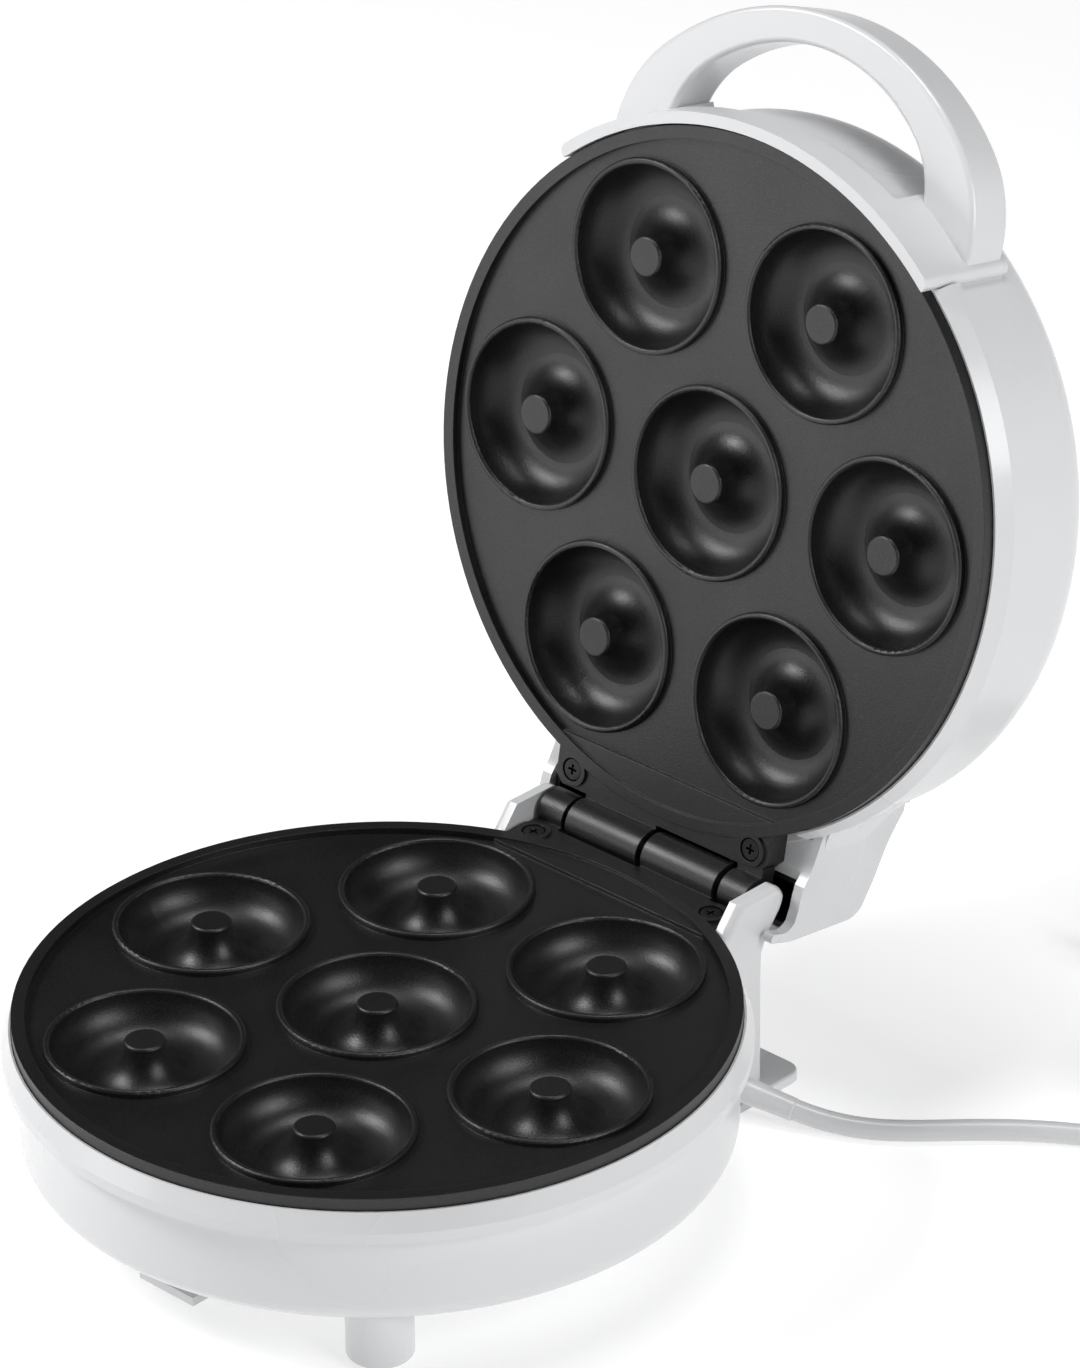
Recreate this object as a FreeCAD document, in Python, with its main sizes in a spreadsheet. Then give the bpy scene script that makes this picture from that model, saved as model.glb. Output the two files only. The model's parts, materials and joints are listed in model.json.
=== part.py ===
import FreeCAD, Part
import math
import os

import Sketcher

# Donut maker: a round clamshell with two cast plates of seven ring cavities.
# Every piece is drawn with the lid shut, about the point where the parting plane of the plates
# meets the axis of the round housing: +X to the right along the hinge, +Y to the back (the hinge
# side), +Z up. A placement then lifts the base onto its feet and swings the lid open.

Vector = FreeCAD.Vector
doc = FreeCAD.newDocument("donut_maker")

# ---------------------------------------------------------------- driving dimensions (mm, degrees)
SIZES = {
    # how the object stands
    "centre_back": -46.2,
    "parting_height": 56.0,
    "lid_open": 101.24,
    "half_gap": 0.2,
    # cast plates
    "plate_radius": 96.6,
    "lip_width": 3.6,
    "plate_recess": 2.0,
    "plate_sheet": 3.0,
    "skirt_depth": 8.2,
    "skirt_wall": 3.0,
    "cavity_pitch": 63.0,
    "cavity_radius": 25.0,
    "cavity_rim": 1.8,
    "cavity_straight": 1.5,
    "post_radius": 5.6,
    "cup_wall": 2.5,
    "foot_ring": 84.0,
    "foot_radius": 4.0,
    "foot_depth": 30.0,
    "clamp_ring": 58.0,
    "clamp_boss": 3.5,
    # hinge
    "hinge_back": 106.9,
    "barrel_radius": 6.4,
    "knuckle_radius": 6.0,
    "barrel_inner": 1.0,
    "barrel_outer": 27.3,
    "knuckle_inner": 29.0,
    "knuckle_outer": 38.0,
    "pin_radius": 2.0,
    "pin_clearance": 0.05,
    "flange_half": 39.0,
    "flange_back": 99.5,
    "flange_drop": 1.0,
    "hinge_screw_side": 33.0,
    "hinge_screw_back": 94.2,
    # housings
    "rim_radius": 99.5,
    "rim_lip": 97.4,
    "rim_start": 3.8,
    "rim_crease": 9.0,
    "rim_band": 12.0,
    "ledge_sheet": 2.8,
    "ledge_radius": 93.2,
    "base_radius": 95.7,
    "base_depth": 39.0,
    "base_corner": 5.5,
    "floor_sheet": 2.6,
    "lid_radius": 97.0,
    "lid_height": 50.0,
    "lid_edge_height": 47.5,
    "lid_corner": 13.0,
    "lid_wall": 2.6,
    # rear block of the base, with the two towers beside the hinge
    "block_half": 44.0,
    "block_wall": 2.5,
    "block_front": 80.0,
    "block_back": 103.3,
    "block_blend": 10.0,
    "channel_half": 39.5,
    "tower_top": 5.3,
    "stand_top": 53.0,
    "stand_half": 47.7,
    "stand_back": 116.0,
    # rear box of the lid
    "box_half": 48.5,
    "box_inner": 45.3,
    "box_back": 116.2,
    "box_wall": 2.4,
    "box_blend": 14.0,
    "blend_top": 40.0,
    # handle
    "handle_half": 63.4,
    "handle_reach": 47.4,
    "handle_centre": 82.0,
    "grip_half": 44.6,
    "grip_reach": 33.0,
    "grip_centre": 87.0,
    "handle_lift": 4.5,
    "handle_sheet": 15.0,
    "handle_lean": 9.0,
    "collar_radius": 100.4,
    "collar_inner": 97.15,
    "collar_angle": 82.0,
    "collar_low": -0.8,
    "collar_high": 10.0,
    "collar_leg": 33.0,
    # heating
    "element_ring": 47.0,
    "element_radius": 3.25,
    "element_depth": 17.1,
    "shield_radius": 78.0,
    "shield_depth": 25.2,
    "shield_sheet": 0.8,
    # mains cord
    "cord_radius": 3.0,
    "coil_outer": 36.5,
    "coil_inner": 24.5,
    "coil_right": 147.2,
    "coil_back": 187.5,
}


class Size:
    """A number that remembers the sheet formula it came from, so what it sizes stays bound."""

    def __init__(self, value, formula):
        self.value = float(value)
        self.formula = formula

    def join(self, other, sign, result):
        return Size(result, f"({self.formula} {sign} {formula_of(other)})")

    def __add__(self, other):
        return self.join(other, "+", self.value + value_of(other))

    def __radd__(self, other):
        return self.join(other, "+", self.value + value_of(other))

    def __sub__(self, other):
        return self.join(other, "-", self.value - value_of(other))

    def __rsub__(self, other):
        return Size(value_of(other) - self.value, f"({formula_of(other)} - {self.formula})")

    def __mul__(self, other):
        return self.join(other, "*", self.value * value_of(other))

    def __rmul__(self, other):
        return self.join(other, "*", self.value * value_of(other))

    def __truediv__(self, other):
        return self.join(other, "/", self.value / value_of(other))

    def __neg__(self):
        return Size(-self.value, f"(0 - {self.formula})")


def value_of(thing):
    return thing.value if isinstance(thing, Size) else float(thing)


def formula_of(thing):
    return thing.formula if isinstance(thing, Size) else f"{float(thing):.6f}"


def root(size):
    return Size(math.sqrt(size.value), f"sqrt({size.formula})")


class Sheet:
    """The driving dimensions: one aliased spreadsheet cell each, read back as Sizes."""

    def __init__(self):
        table = doc.addObject("Spreadsheet::Sheet", "dims")
        for row, (name, number) in enumerate(SIZES.items(), start=1):
            table.set(f"A{row}", name)
            table.set(f"B{row}", str(number))
            table.setAlias(f"B{row}", name)
            setattr(self, name, Size(number, f"dims.{name}"))
        doc.recompute()


dim = Sheet()


def bind(thing, path, size):
    """Set a property, and bind it to the sheet when its size comes from there."""
    if isinstance(size, Size):
        thing.setExpression(path, size.formula)
    else:
        setattr(thing, path, size)


# ---------------------------------------------------------------- placements of base and lid
BASE = "placement(vector(0; dims.centre_back; dims.parting_height); rotation(vector(0;0;1); 0))"
LID = (
    "placement(vector(0; dims.centre_back + dims.hinge_back; dims.parting_height);"
    " rotation(vector(1;0;0); -dims.lid_open))"
    " * placement(vector(0; -dims.hinge_back; 0); rotation(vector(0;0;1); 0))"
)
FLIP = " * placement(vector(0;0;0); rotation(vector(0;1;0); 180))"

NODES = []


def node(thing, label, home):
    """Name a finished piece, put it in its place and list it for export."""
    thing.Label = label
    thing.setExpression("Placement", home)
    NODES.append(thing)


# ---------------------------------------------------------------- sketch and feature helpers
def new_body(name):
    return doc.addObject("PartDesign::Body", name)


def plane_of(body, role):
    return [part for part in body.Origin.OriginFeatures if part.Role == role][0]


def new_sketch(body, plane, lift=0, shift=0, turned=FreeCAD.Rotation()):
    """A sketch on one of the body's origin planes, lifted along its normal, shifted or turned."""
    sketch = body.newObject("Sketcher::SketchObject", body.Name + "_sketch")
    sketch.AttachmentSupport = [(plane_of(body, plane), "")]
    sketch.MapMode = "FlatFace"
    sketch.AttachmentOffset = FreeCAD.Placement(
        Vector(value_of(shift), 0, value_of(lift)), turned
    )
    if isinstance(lift, Size):
        sketch.setExpression(".AttachmentOffset.Base.z", lift.formula)
    if isinstance(shift, Size):
        sketch.setExpression(".AttachmentOffset.Base.x", shift.formula)
    return sketch


def fix(sketch, edge, end, axis, size):
    """Hold one end of an edge at a distance from the sketch's origin."""
    kind = "DistanceX" if axis == 0 else "DistanceY"
    if not isinstance(size, Size) and abs(size) < 1e-9:
        sketch.addConstraint(Sketcher.Constraint("PointOnObject", edge, end, -2 if axis == 0 else -1))
        return
    index = sketch.addConstraint(Sketcher.Constraint(kind, -1, 1, edge, end, value_of(size)))
    if isinstance(size, Size):
        name = f"edge{edge}_end{end}_{'xy'[axis]}"
        sketch.renameConstraint(index, name)
        sketch.setExpression("Constraints." + name, size.formula)


def arc_through(start, finish, radius):
    """The arc of a signed radius between two points: positive turns left, negative right."""
    chord = finish - start
    half = chord.Length / 2
    rise = math.sqrt(max(radius * radius - half * half, 0))
    side = Vector(-chord.y, chord.x, 0).normalize()
    centre = (start + finish) / 2 + side * (rise if radius > 0 else -rise)
    first, last = (start, finish) if radius > 0 else (finish, start)
    circle = Part.Circle(centre, Vector(0, 0, 1), abs(radius))
    return Part.ArcOfCircle(circle, circle.parameter(first), circle.parameter(last))


def outline(sketch, corners):
    """Draw a closed outline. A third number on a corner bends the edge that leaves it."""
    points = [Vector(value_of(c[0]), value_of(c[1]), 0) for c in corners]
    ends = []
    for place, corner in enumerate(corners):
        start, finish = points[place], points[(place + 1) % len(points)]
        if len(corner) == 3:
            edge = sketch.addGeometry(arc_through(start, finish, value_of(corner[2])), False)
            ends.append((edge, 1, 2) if value_of(corner[2]) > 0 else (edge, 2, 1))
        else:
            edge = sketch.addGeometry(Part.LineSegment(start, finish), False)
            ends.append((edge, 1, 2))
    for place, (edge, start_end, finish_end) in enumerate(ends):
        after = ends[(place + 1) % len(ends)]
        sketch.addConstraint(Sketcher.Constraint("Coincident", edge, finish_end, after[0], after[1]))
        fix(sketch, edge, start_end, 0, corners[place][0])
        fix(sketch, edge, start_end, 1, corners[place][1])
        if len(corners[place]) == 3:
            radius = corners[place][2]
            index = sketch.addConstraint(Sketcher.Constraint("Radius", edge, abs(value_of(radius))))
            if isinstance(radius, Size):
                name = f"edge{edge}_radius"
                sketch.renameConstraint(index, name)
                size = radius if radius.value > 0 else -radius
                sketch.setExpression("Constraints." + name, size.formula)
    return sketch


def circles(sketch, spots, radius):
    """Draw equal circles at the given spots."""
    for x, y in spots:
        centre = Vector(value_of(x), value_of(y), 0)
        edge = sketch.addGeometry(Part.Circle(centre, Vector(0, 0, 1), value_of(radius)), False)
        fix(sketch, edge, 3, 0, x)
        fix(sketch, edge, 3, 1, y)
        index = sketch.addConstraint(Sketcher.Constraint("Radius", edge, value_of(radius)))
        if isinstance(radius, Size):
            sketch.renameConstraint(index, f"edge{edge}_radius")
            sketch.setExpression(f"Constraints.edge{edge}_radius", radius.formula)
    return sketch


def feature(body, kind, sketch):
    made = body.newObject("PartDesign::" + kind, f"{body.Name}_{kind.lower()}")
    made.Profile = sketch
    return made


def turn(body, kind, sketch, angle=360):
    """Revolution or Groove about the sketch's upright axis; a part turn is centred on the sketch."""
    made = feature(body, kind, sketch)
    made.ReferenceAxis = (sketch, ["V_Axis"])
    made.Midplane = angle != 360
    bind(made, "Angle", angle)
    return made


def push(body, kind, sketch, length, both=False, back=False):
    """Pad or Pocket of a sketch along its normal, or half each way."""
    made = feature(body, kind, sketch)
    made.Midplane = both
    made.Reversed = back
    bind(made, "Length", length)
    return made


def around(body, features, count):
    """Repeat features evenly about the upright axis."""
    made = body.newObject("PartDesign::PolarPattern", body.Name + "_ring")
    made.Originals = features
    axis = [part for part in body.Origin.OriginFeatures if part.Role == "Z_Axis"][0]
    made.Axis = (axis, [""])
    made.Angle = 360
    made.Occurrences = count
    body.Tip = made
    return made


def round_edges(body, radius, wanted):
    """Round those edges of the body that the test picks."""
    doc.recompute()
    base = body.Tip
    names = [f"Edge{n}" for n, edge in enumerate(base.Shape.Edges, start=1) if wanted(edge)]
    made = body.newObject("PartDesign::Fillet", body.Name + "_round")
    made.Base = (base, names)
    made.Radius = radius
    doc.recompute()
    return made


def side_blends(body, half, round_wall, soft, low, high):
    """Fill the corners where a box's flat sides leave a round wall, with tangent arcs."""
    arc_centre = half + soft
    reach = root((round_wall + soft) * (round_wall + soft) - arc_centre * arc_centre)
    share = round_wall / (round_wall + soft)
    inside = half - 3.0
    for way in (-1, 1):
        corner = outline(
            new_sketch(body, "XY_Plane", lift=low),
            [
                (inside * way, reach * share - 6.0),
                (arc_centre * share * way, reach * share, -soft * way),
                (half * way, reach),
                (inside * way, reach),
            ],
        )
        push(body, "Pad", corner, high - low)


def ring_spots(radius, angles):
    """Places on a circle, at angles measured from +X."""
    return [
        (radius * math.cos(math.radians(angle)), radius * math.sin(math.radians(angle)))
        for angle in angles
    ]


def is_circle(edge, radius, height=None):
    """Whether an edge is a full circle of this radius (at this height) about an upright axis."""
    curve = edge.Curve
    if not isinstance(curve, Part.Circle) or abs(curve.Radius - radius) > 0.02:
        return False
    if abs(abs(curve.Axis.z) - 1) > 1e-6:
        return False
    return height is None or abs(curve.Center.z - height) < 0.02


# ---------------------------------------------------------------- Part primitive helpers
def cylinder(name, radius, height, x=0, y=0, z=0, axis="z"):
    made = doc.addObject("Part::Cylinder", name)
    bind(made, "Radius", radius)
    bind(made, "Height", height)
    place(made, x, y, z, axis)
    return made


def cone(name, first, last, height, x=0, y=0, z=0, axis="z"):
    made = doc.addObject("Part::Cone", name)
    bind(made, "Radius1", first)
    bind(made, "Radius2", last)
    bind(made, "Height", height)
    place(made, x, y, z, axis)
    return made


def block(name, length, width, height, x=0, y=0, z=0):
    """A box centred on x and y, standing on z."""
    made = doc.addObject("Part::Box", name)
    bind(made, "Length", length)
    bind(made, "Width", width)
    bind(made, "Height", height)
    place(made, x - length / 2, y - width / 2, z, "z")
    return made


TURNS = {
    "z": FreeCAD.Rotation(),
    "x": FreeCAD.Rotation(Vector(0, 1, 0), 90),
    "y": FreeCAD.Rotation(Vector(1, 0, 0), -90),
    "-z": FreeCAD.Rotation(Vector(1, 0, 0), 180),
}


def place(made, x, y, z, axis):
    made.Placement = FreeCAD.Placement(
        Vector(value_of(x), value_of(y), value_of(z)), TURNS[axis]
    )
    for letter, size in zip("xyz", (x, y, z)):
        if isinstance(size, Size):
            made.setExpression(f".Placement.Base.{letter}", size.formula)


def fuse(name, parts):
    made = doc.addObject("Part::MultiFuse", name)
    made.Shapes = parts
    return made


def cut(name, base, tool):
    made = doc.addObject("Part::Cut", name)
    made.Base = base
    made.Tool = tool
    return made


def group(name, parts):
    """Several separate solids kept as one piece of the list, such as a set of screws."""
    made = doc.addObject("Part::Compound", name)
    made.Links = parts
    return made


def screws(label, home, spots, head_radius, head_height, shank_radius, length, z, upward):
    """Cross-head screws: head at z, shank going up or down from it."""
    axis, sign = ("z", 1) if upward else ("-z", -1)
    made = []
    for number, (x, y) in enumerate(spots, start=1):
        stem = f"{label}_{number}"
        head = cylinder(stem + "_head", head_radius, head_height, x, y, z, axis)
        shank_z = z + sign * (head_height - 0.1)
        shank = cylinder(stem + "_shank", shank_radius, length, x, y, shank_z, axis)
        depth = head_height * 0.7
        low = z - 0.2 if upward else z - depth
        slots = [
            block(f"{stem}_slot_{way}", wide, deep, depth + 0.2, x, y, low)
            for way, wide, deep in (("a", 0.75, 3.0), ("b", 3.0, 0.75))
        ]
        whole = fuse(stem + "_blank", [head, shank])
        made.append(cut(stem + "_screw", whole, fuse(stem + "_cross", slots)))
    node(group(label + "_set", made), label, home)


def solid(name, shape):
    made = doc.addObject("Part::Feature", name)
    made.Shape = shape
    return made


# ---------------------------------------------------------------- cast plates
HINGE_SIDES = (-1, 1)
FOOT_ANGLES = (-30, 210)
CLAMP_ANGLES = (90, 210, 330)


def cup_section(sketch):
    """Half section of a cavity's metal: hollow post, ring-shaped bulge and raised rim."""
    top = -dim.half_gap
    centre = (dim.cavity_radius + dim.post_radius) / 2
    tube = (dim.cavity_radius - dim.post_radius) / 2 + dim.cup_wall
    under = -(dim.cavity_straight + dim.cup_wall)
    reach = root(tube * tube - dim.cup_wall * dim.cup_wall)
    post_sheet = under + 0.6
    return outline(
        sketch,
        [
            (0, top),
            (0, post_sheet),
            (centre - reach, post_sheet),
            (centre - reach, under, tube),
            (centre, -(dim.cavity_straight) - tube, tube),
            (centre + reach, under),
            (dim.cavity_radius + dim.cavity_rim, under),
            (dim.cavity_radius + dim.cavity_rim, top),
        ],
    )


def ring_section(sketch):
    """Half section of the space for one donut: half a ring, open at the top."""
    tube = (dim.cavity_radius - dim.post_radius) / 2
    low = -dim.cavity_straight
    return outline(
        sketch,
        [
            (dim.post_radius, 1.0),
            (dim.post_radius, low, tube),
            (dim.post_radius + tube, low - tube, tube),
            (dim.cavity_radius, low),
            (dim.cavity_radius, 1.0),
        ],
    )


def plate(name, label, home):
    """One casting. The lid's plate is the same piece turned over about the front-to-back line."""
    body = new_body(name)
    floor = -(dim.half_gap + dim.plate_recess)
    inner = dim.plate_radius - dim.lip_width
    skirt = dim.plate_radius - dim.skirt_wall
    section = outline(
        new_sketch(body, "XZ_Plane"),
        [
            (0, floor),
            (0, floor - dim.plate_sheet),
            (skirt, floor - dim.plate_sheet),
            (skirt, -dim.skirt_depth),
            (dim.plate_radius, -dim.skirt_depth),
            (dim.plate_radius, -dim.half_gap),
            (inner, -dim.half_gap),
            (inner, floor),
        ],
    )
    turn(body, "Revolution", section)

    # hinge flange with its two screw bosses, then barrels on their webs
    flange_depth = dim.skirt_depth - dim.flange_drop
    chamfer = 2.5
    side, back = dim.flange_half, dim.flange_back
    sketch = outline(
        new_sketch(body, "XY_Plane", lift=-dim.skirt_depth),
        [
            (-side, 84.5),
            (side, 84.5),
            (side, back - chamfer),
            (side - chamfer, back),
            (-side + chamfer, back),
            (-side, back - chamfer),
        ],
    )
    push(body, "Pad", sketch, flange_depth)
    spots = [(dim.hinge_screw_side * way, dim.hinge_screw_back) for way in HINGE_SIDES]
    sketch = circles(new_sketch(body, "XY_Plane", lift=-dim.skirt_depth), spots, 4.8)
    push(body, "Pad", sketch, dim.skirt_depth - dim.half_gap)
    for start, finish, radius in (
        (dim.barrel_inner, dim.barrel_outer, dim.barrel_radius),
        (-dim.knuckle_outer, -dim.knuckle_inner, dim.knuckle_radius),
    ):
        sketch = circles(new_sketch(body, "YZ_Plane", lift=start), [(dim.hinge_back, 0)], radius)
        push(body, "Pad", sketch, finish - start)
        web = outline(
            new_sketch(body, "YZ_Plane", lift=start),
            [
                (back - 1.0, -dim.flange_drop),
                (back - 1.0, -radius),
                (dim.hinge_back, -radius),
                (dim.hinge_back, -dim.flange_drop),
            ],
        )
        push(body, "Pad", web, finish - start)

    # cups, feet and clamp bosses under the plate
    cup = cup_section(new_sketch(body, "XZ_Plane", shift=dim.cavity_pitch))
    around(body, [turn(body, "Revolution", cup)], 6)
    turn(body, "Revolution", cup_section(new_sketch(body, "XZ_Plane")))
    under = floor - 1.0
    feet = circles(
        new_sketch(body, "XY_Plane", lift=under),
        ring_spots(dim.foot_ring, FOOT_ANGLES),
        dim.foot_radius,
    )
    push(body, "Pad", feet, under + dim.foot_depth, back=True)
    bosses = circles(
        new_sketch(body, "XY_Plane", lift=under),
        ring_spots(dim.clamp_ring, CLAMP_ANGLES),
        dim.clamp_boss,
    )
    push(body, "Pad", bosses, under + dim.element_depth + dim.element_radius, back=True)

    # donut spaces, pin bore and screw holes
    ring = ring_section(new_sketch(body, "XZ_Plane", shift=dim.cavity_pitch))
    around(body, [turn(body, "Groove", ring)], 6)
    turn(body, "Groove", ring_section(new_sketch(body, "XZ_Plane")))
    bore = circles(
        new_sketch(body, "YZ_Plane"), [(dim.hinge_back, 0)], dim.pin_radius + dim.pin_clearance
    )
    push(body, "Pocket", bore, 4 * dim.knuckle_outer, both=True)
    holes = circles(new_sketch(body, "XY_Plane"), spots, 1.9)
    push(body, "Pocket", holes, 40, both=True)
    recesses = circles(new_sketch(body, "XY_Plane"), spots, 3.35)
    push(body, "Pocket", recesses, 2.2)
    pilots = circles(
        new_sketch(body, "XY_Plane", lift=-dim.foot_depth), ring_spots(dim.foot_ring, FOOT_ANGLES), 1.6
    )
    push(body, "Pocket", pilots, 16, back=True)
    pilots = circles(
        new_sketch(body, "XY_Plane", lift=-(dim.element_depth + dim.element_radius)),
        ring_spots(dim.clamp_ring, CLAMP_ANGLES),
        1.3,
    )
    push(body, "Pocket", pilots, 9, back=True)

    top = -dim.half_gap.value
    soft_radii = [
        dim.cavity_radius.value,
        dim.cavity_radius.value + dim.cavity_rim.value,
        dim.post_radius.value,
    ]
    round_edges(body, 0.8, lambda edge: any(is_circle(edge, r, top) for r in soft_radii))
    node(body, label, home)


plate("lower_casting", "lower_plate", BASE)
plate("upper_casting", "upper_plate", LID + FLIP)


# ---------------------------------------------------------------- base housing
def base_housing():
    body = new_body("base_shell")
    ledge_low = -(dim.skirt_depth + dim.ledge_sheet)
    # rear block, from the stand up to the towers beside the hinge
    side = outline(
        new_sketch(body, "YZ_Plane"),
        [
            (dim.block_front, -dim.stand_top),
            (dim.block_back, -dim.stand_top),
            (dim.block_back, -20.8),
            (dim.block_back + 0.3, -13.0),
            (105.4, -9.0),
            (109.4, -4.0, 9.0),
            (112.2, 1.4, 5.0),
            (108.6, dim.tower_top),
            (94.5, dim.tower_top),
            (89.3, -1.0),
            (dim.block_front, -11.0),
        ],
    )
    push(body, "Pad", side, 2 * dim.block_half, both=True)
    round_edges(
        body,
        2.2,
        lambda edge: abs(abs(edge.CenterOfMass.x) - dim.block_half.value) < 0.01
        and edge.CenterOfMass.y > 84
        and edge.CenterOfMass.z > -50,
    )
    bowl = outline(
        new_sketch(body, "XZ_Plane"),
        [
            (0, -dim.base_depth),
            (dim.base_radius - dim.base_corner, -dim.base_depth, dim.base_corner),
            (dim.base_radius, -(dim.base_depth - dim.base_corner)),
            (dim.base_radius, -dim.rim_band - 1.2),
            (dim.rim_radius, -dim.rim_band),
            (dim.rim_radius, -dim.rim_crease),
            (dim.rim_lip, -dim.rim_start),
            (0, -dim.rim_start),
        ],
    )
    turn(body, "Revolution", bowl)
    blend_low = 4.0 - dim.base_depth
    side_blends(body, dim.block_half, dim.base_radius, dim.block_blend, blend_low, -dim.rim_band)
    seat = dim.plate_radius + 0.2
    inside = dim.base_corner - 1.0
    room = outline(
        new_sketch(body, "XZ_Plane"),
        [
            (0, floor_top()),
            (dim.ledge_radius - inside, floor_top(), inside),
            (dim.ledge_radius, floor_top() + inside),
            (dim.ledge_radius, -dim.skirt_depth),
            (seat, -dim.skirt_depth),
            (seat, 1.0),
            (0, 1.0),
        ],
    )
    turn(body, "Groove", room)

    # feet, cord hook, bosses
    front_feet = circles(new_sketch(body, "XY_Plane", lift=-dim.base_depth + 1), FRONT_FEET, 9.0)
    push(body, "Pad", front_feet, FOOT_LOW - dim.base_depth + 1, back=True)
    round_edges(
        body, 1.2, lambda edge: is_circle(edge, 9.0, -value_of(FOOT_LOW))
    )
    hook = outline(
        new_sketch(body, "YZ_Plane"),
        [
            (-70.0, -dim.base_depth + 1),
            (-70.0, -53.0),
            (-79.5, -53.0),
            (-79.5, -50.5),
            (-72.5, -50.5),
            (-72.5, -dim.base_depth + 1),
        ],
    )
    push(body, "Pad", hook, 20, both=True)
    plate_bosses = circles(
        new_sketch(body, "XY_Plane", lift=floor_top() - 0.5), ring_spots(dim.foot_ring, FOOT_ANGLES), 5.0
    )
    push(body, "Pad", plate_bosses, -dim.foot_depth - floor_top() + 0.5)
    shield_bosses = circles(
        new_sketch(body, "XY_Plane", lift=floor_top() - 0.5),
        ring_spots(SHIELD_RING, SHIELD_ANGLES),
        3.5,
    )
    push(body, "Pad", shield_bosses, -dim.shield_depth - floor_top() + 0.5)
    shield_pilots = circles(
        new_sketch(body, "XY_Plane", lift=-dim.shield_depth),
        ring_spots(SHIELD_RING, SHIELD_ANGLES),
        1.25,
    )
    push(body, "Pocket", shield_pilots, 9)

    # room inside the block, channel for the barrels, cord hole and screw holes
    inner = outline(
        new_sketch(body, "YZ_Plane"),
        [
            (dim.block_front + dim.block_wall, -60.0),
            (dim.block_back - dim.block_wall, -60.0),
            (dim.block_back - dim.block_wall, ledge_low - 2.0),
            (dim.block_back - dim.block_wall - 2.0, ledge_low),
            (dim.block_front + dim.block_wall, ledge_low),
        ],
    )
    push(body, "Pocket", inner, 2 * (dim.block_half - dim.block_wall), both=True)
    channel = outline(
        new_sketch(body, "YZ_Plane"),
        [(80.0, -dim.skirt_depth), (125.0, -dim.skirt_depth), (125.0, 20.0), (80.0, 20.0)],
    )
    push(body, "Pocket", channel, 2 * dim.channel_half, both=True)
    stand_bosses = circles(new_sketch(body, "XY_Plane", lift=-dim.stand_top), STAND_SCREWS, 4.0)
    push(body, "Pad", stand_bosses, 14)
    pilots = circles(new_sketch(body, "XY_Plane", lift=-dim.stand_top), STAND_SCREWS, 1.5)
    push(body, "Pocket", pilots, 11, back=True)
    through = circles(
        new_sketch(body, "XY_Plane", lift=-dim.base_depth - 1),
        ring_spots(dim.foot_ring, FOOT_ANGLES),
        2.0,
    )
    push(body, "Pocket", through, 20, back=True)
    heads = circles(
        new_sketch(body, "XY_Plane", lift=-dim.base_depth), ring_spots(dim.foot_ring, FOOT_ANGLES), 3.8
    )
    push(body, "Pocket", heads, 4.0, back=True)
    hinge_holes = circles(
        new_sketch(body, "XY_Plane", lift=-dim.skirt_depth),
        [(dim.hinge_screw_side * way, dim.hinge_screw_back) for way in HINGE_SIDES],
        1.5,
    )
    push(body, "Pocket", hinge_holes, 6)
    cord_hole = circles(new_sketch(body, "YZ_Plane", lift=dim.block_half + 1), [CORD_EXIT], 4.7)
    push(body, "Pocket", cord_hole, 5)
    pad_seats = circles(new_sketch(body, "XY_Plane", lift=-FOOT_LOW), FRONT_FEET, 6.2)
    push(body, "Pocket", pad_seats, 1.0, back=True)
    node(body, "base_housing", BASE)


def floor_top():
    return -(dim.base_depth - dim.floor_sheet)


FRONT_FEET = [(-58.0, -59.0), (58.0, -59.0)]
FOOT_LOW = dim.parting_height - 0.6
SHIELD_RING = 66.0
SHIELD_ANGLES = (270, 30, 150)
STAND_SCREWS = [(-30.0, 97.2), (30.0, 97.2)]
CORD_EXIT = (88.6, -47.0)

base_housing()


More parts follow.
